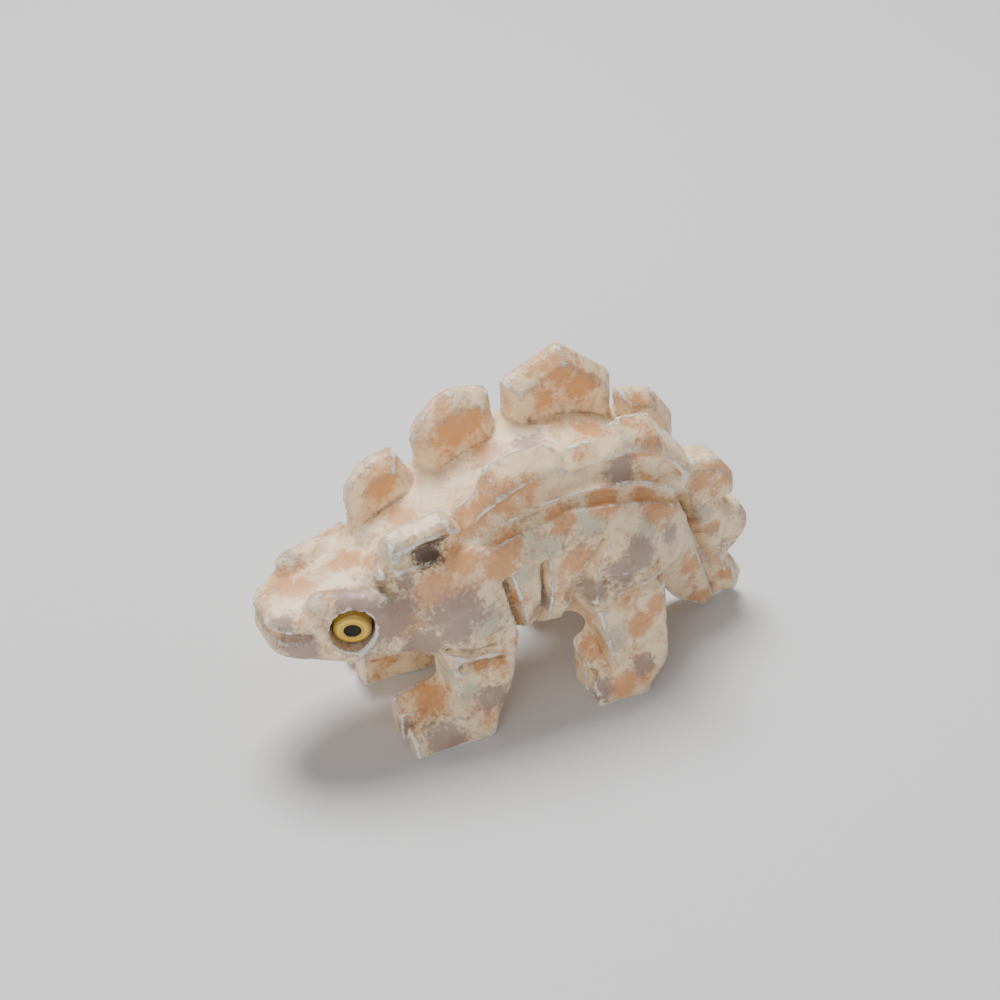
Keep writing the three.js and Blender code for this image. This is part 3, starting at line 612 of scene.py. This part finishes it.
def stone_material():
    s = Shader("waxed_banded_stone")
    place = s.position()
    blotch = s.noise(place, 0.55, 6.0, 0.62, 0.8)
    grain = s.noise(place, 2.6, 5.0, 0.65)
    colour = s.mix(s.step(blotch, 0.4, 0.66), CREAM, BLUSH)
    ragged = s.math("MULTIPLY", s.math("SUBTRACT", s.math("ADD", blotch, grain), 1.0), 1.1)
    for pigment, shade, strength in (
        ("green", GREEN, 0.75), ("orange", ORANGE, 0.8), ("lilac", LILAC, 0.85), ("brown", BROWN, 0.95),
    ):
        edge = s.math("ADD", s.attribute(pigment), ragged)
        amount = s.math("MULTIPLY", s.step(edge, 0.25, 0.75), strength)
        colour = s.mix(amount, colour, shade)
    flecks = s.noise(place, 9.0, 2.0, 0.5)
    colour = s.mix(s.math("MULTIPLY", s.step(flecks, 0.66, 0.74), 0.35), colour, SPECK_AND_SHADE)
    crumb = s.noise(place, 5.5, 6.0, 0.7)
    # Chalk on the edges: partly the stone's own wear, partly a painted highlight.
    worn_and_highlit = s.math("ADD", s.attribute("worn_and_highlit"), s.math("SUBTRACT", crumb, 0.55))
    chalk_and_highlight = s.step(worn_and_highlit, 0.35, 0.75)
    colour = s.mix(s.math("MULTIPLY", chalk_and_highlight, 0.85), colour, CHALK_AND_HIGHLIGHT)
    # Painted shade: the concave places are darkened towards dark brown.
    crease_shade = s.step(s.math("ADD", s.attribute("crease_shade"), s.math("MULTIPLY", s.math("SUBTRACT", grain, 0.5), 0.6)), 0.3, 0.9)
    colour = s.mix(s.math("MULTIPLY", crease_shade, 0.6), colour, SPECK_AND_SHADE)
    s.feed(s.surface.inputs["Base Color"], colour)
    polish = s.math("MULTIPLY_ADD", grain, 0.25)
    s.feed(polish.node.inputs[2], 0.24)
    s.feed(s.surface.inputs["Roughness"], s.math("ADD", polish, s.math("MULTIPLY", chalk_and_highlight, 0.3), clamp=True))
    strokes = s.noise(s.position((350, 900, 3200), (0.2, 0.5, 0.3)), 1.0, 3.0, 0.6)
    rough_edge = s.math("MULTIPLY", crumb, s.math("ADD", chalk_and_highlight, 0.15))
    normal = s.bump(strokes, 0.00006, 0.5)
    normal = s.bump(rough_edge, 0.00025, 0.8, normal)
    s.feed(s.surface.inputs["Normal"], normal)
    s.surface.inputs["Subsurface Weight"].default_value = 0.12
    s.surface.inputs["Subsurface Radius"].default_value = (1.0, 0.6, 0.35)
    s.surface.inputs["Subsurface Scale"].default_value = 0.001
    s.surface.inputs["IOR"].default_value = 1.5
    return s.material


def carved_body():
    points, quads = surface_of(stone_distance, GRID_LOW, GRID_HIGH, GRID_STEP)
    piece = new_piece("stone_carving", points, quads)
    carve_by_hand(piece.data)
    stain_stone(piece.data)
    piece.data.materials.append(stone_material())
    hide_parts("carved_body")
    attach(piece, "root")


def eye_profile(r):
    """Height of the inlay's face at a distance from its middle."""
    if r < PUPIL_RADIUS:
        return -PUPIL_DEPTH * (1 - (r / PUPIL_RADIUS) ** 6)
    return EYE_DOME * (1 - ((r - PUPIL_RADIUS) / (EYE_RADIUS - PUPIL_RADIUS)) ** 2) - EYE_DOME / 2


def eye_material():
    s = Shader("yellow_eye_inlay")
    radius = s.attribute("from_middle")
    grain = s.noise(s.position(), 7.0, 4.0, 0.6)
    yellow = s.mix(grain, linear(196, 150, 34), linear(222, 180, 60))
    # Painted shade: a dark olive ring round the inlay's edge stands in for the shadow in the gap of its seat.
    rim = s.step(s.math("ADD", radius, s.math("MULTIPLY", grain, 0.1)), 0.86, 0.98)
    colour = s.mix(s.math("MULTIPLY", rim, 0.7), yellow, linear(122, 96, 36))
    pale = s.math("MULTIPLY", s.step(radius, 0.64, 0.7), s.step(radius, 0.8, 0.74))
    colour = s.mix(s.math("MULTIPLY", pale, 0.5), colour, linear(236, 206, 112))
    edge = s.math("ADD", radius, s.math("MULTIPLY", s.math("SUBTRACT", grain, 0.5), 0.12))
    pupil = s.step(edge, 0.5, 0.44)
    colour = s.mix(pupil, colour, linear(26, 22, 20))
    s.feed(s.surface.inputs["Base Color"], colour)
    s.feed(s.surface.inputs["Roughness"], s.math("ADD", s.math("MULTIPLY", pupil, 0.3), 0.35))
    s.feed(s.surface.inputs["Normal"], s.bump(grain, 0.00008, 0.7))
    return s.material


def eye_piece(name, node, side, material):
    """A turned inlay facing out of its seat: rings of points from the middle of the face round to the back."""
    segments = 72
    face = np.linspace(0.04, EYE_RADIUS - 0.06, 28)
    profile = [(r, eye_profile(r)) for r in face] + [(EYE_RADIUS, -0.15), (EYE_RADIUS, -EYE_THICKNESS)]
    turn = Vector((0, 0, 1)).rotation_difference(EYE_FACING)
    points = []
    radii = []
    for radius, height in profile:
        for i in range(segments):
            a = 2 * math.pi * i / segments
            p = Vector((radius * math.cos(a), radius * math.sin(a), height))
            if radius < PUPIL_RADIUS:
                p.z += 0.05 * noise.noise(p * 4)
            p = EYE_CENTRE + turn @ p
            points.append((p.x, side * p.y, p.z))
            radii.append(radius / EYE_RADIUS)
    faces = []
    for ring in range(len(profile) - 1):
        for i in range(segments):
            a = ring * segments + i
            b = ring * segments + (i + 1) % segments
            faces.append((a, a + segments, b + segments, b)[::-side])
    faces.append(tuple(range(segments))[::side])
    faces.append(tuple(range(len(points) - segments, len(points)))[::-side])
    mesh = bpy.data.meshes.new(name)
    mesh.from_pydata([tuple(v * MM for v in p) for p in points], [], faces)
    mesh.update()
    mesh.shade_smooth()
    set_attribute(mesh, "from_middle", np.array(radii, np.float32))
    mesh.materials.append(material)
    piece = bpy.data.objects.new(name, mesh)
    bpy.context.scene.collection.objects.link(piece)
    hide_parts(node)
    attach(piece, "root")


CAMERA_AIM = Vector((11.0427, 24.4411, 0)) * MM
CAMERA_DISTANCE = 212.815 * MM
CAMERA_AZIMUTH = math.radians(-27.5)
CAMERA_ELEVATION = math.radians(35)


def camera():
    back = Vector((
        math.sin(CAMERA_AZIMUTH) * math.cos(CAMERA_ELEVATION),
        -math.cos(CAMERA_AZIMUTH) * math.cos(CAMERA_ELEVATION),
        math.sin(CAMERA_ELEVATION),
    ))
    data = bpy.data.cameras.new("camera")
    data.lens = 72
    data.sensor_width = 36
    data.clip_start = 0.01
    data.clip_end = 5
    made = bpy.data.objects.new("camera", data)
    made.location = CAMERA_AIM + back * CAMERA_DISTANCE
    made.rotation_euler = back.to_track_quat("Z", "Y").to_euler()
    bpy.context.scene.collection.objects.link(made)
    bpy.context.scene.camera = made


def area_light(name, place, aim, size, power, colour=(1, 1, 1)):
    data = bpy.data.lights.new(name, "AREA")
    data.shape = "DISK"
    data.size = size
    data.energy = power
    data.color = colour
    made = bpy.data.objects.new(name, data)
    made.location = place
    made.rotation_euler = (Vector(place) - Vector(aim)).to_track_quat("Z", "Y").to_euler()
    bpy.context.scene.collection.objects.link(made)


def studio():
    bpy.ops.mesh.primitive_plane_add(size=3, location=(0, 0, 0))
    floor = bpy.context.object
    floor.name = "floor"
    s = Shader("pale_floor")
    s.surface.inputs["Base Color"].default_value = (0.62, 0.61, 0.6, 1)
    s.surface.inputs["Roughness"].default_value = 0.8
    floor.data.materials.append(s.material)
    area_light("key", (0.02, 0.16, 0.42), (0, 0, 0.01), 0.22, 3.2)
    area_light("fill", (-0.35, -0.35, 0.2), (0, 0, 0.01), 0.4, 1.4)
    world = bpy.data.worlds.new("studio")
    world.use_nodes = True
    world.node_tree.nodes["Background"].inputs["Color"].default_value = (0.9, 0.92, 1, 1)
    world.node_tree.nodes["Background"].inputs["Strength"].default_value = 0.35
    bpy.context.scene.world = world


camera()
studio()
carved_body()
inlay = eye_material()
eye_piece("left_eye_inlay", "left_eye", 1, inlay)
eye_piece("right_eye_inlay", "right_eye", -1, inlay)
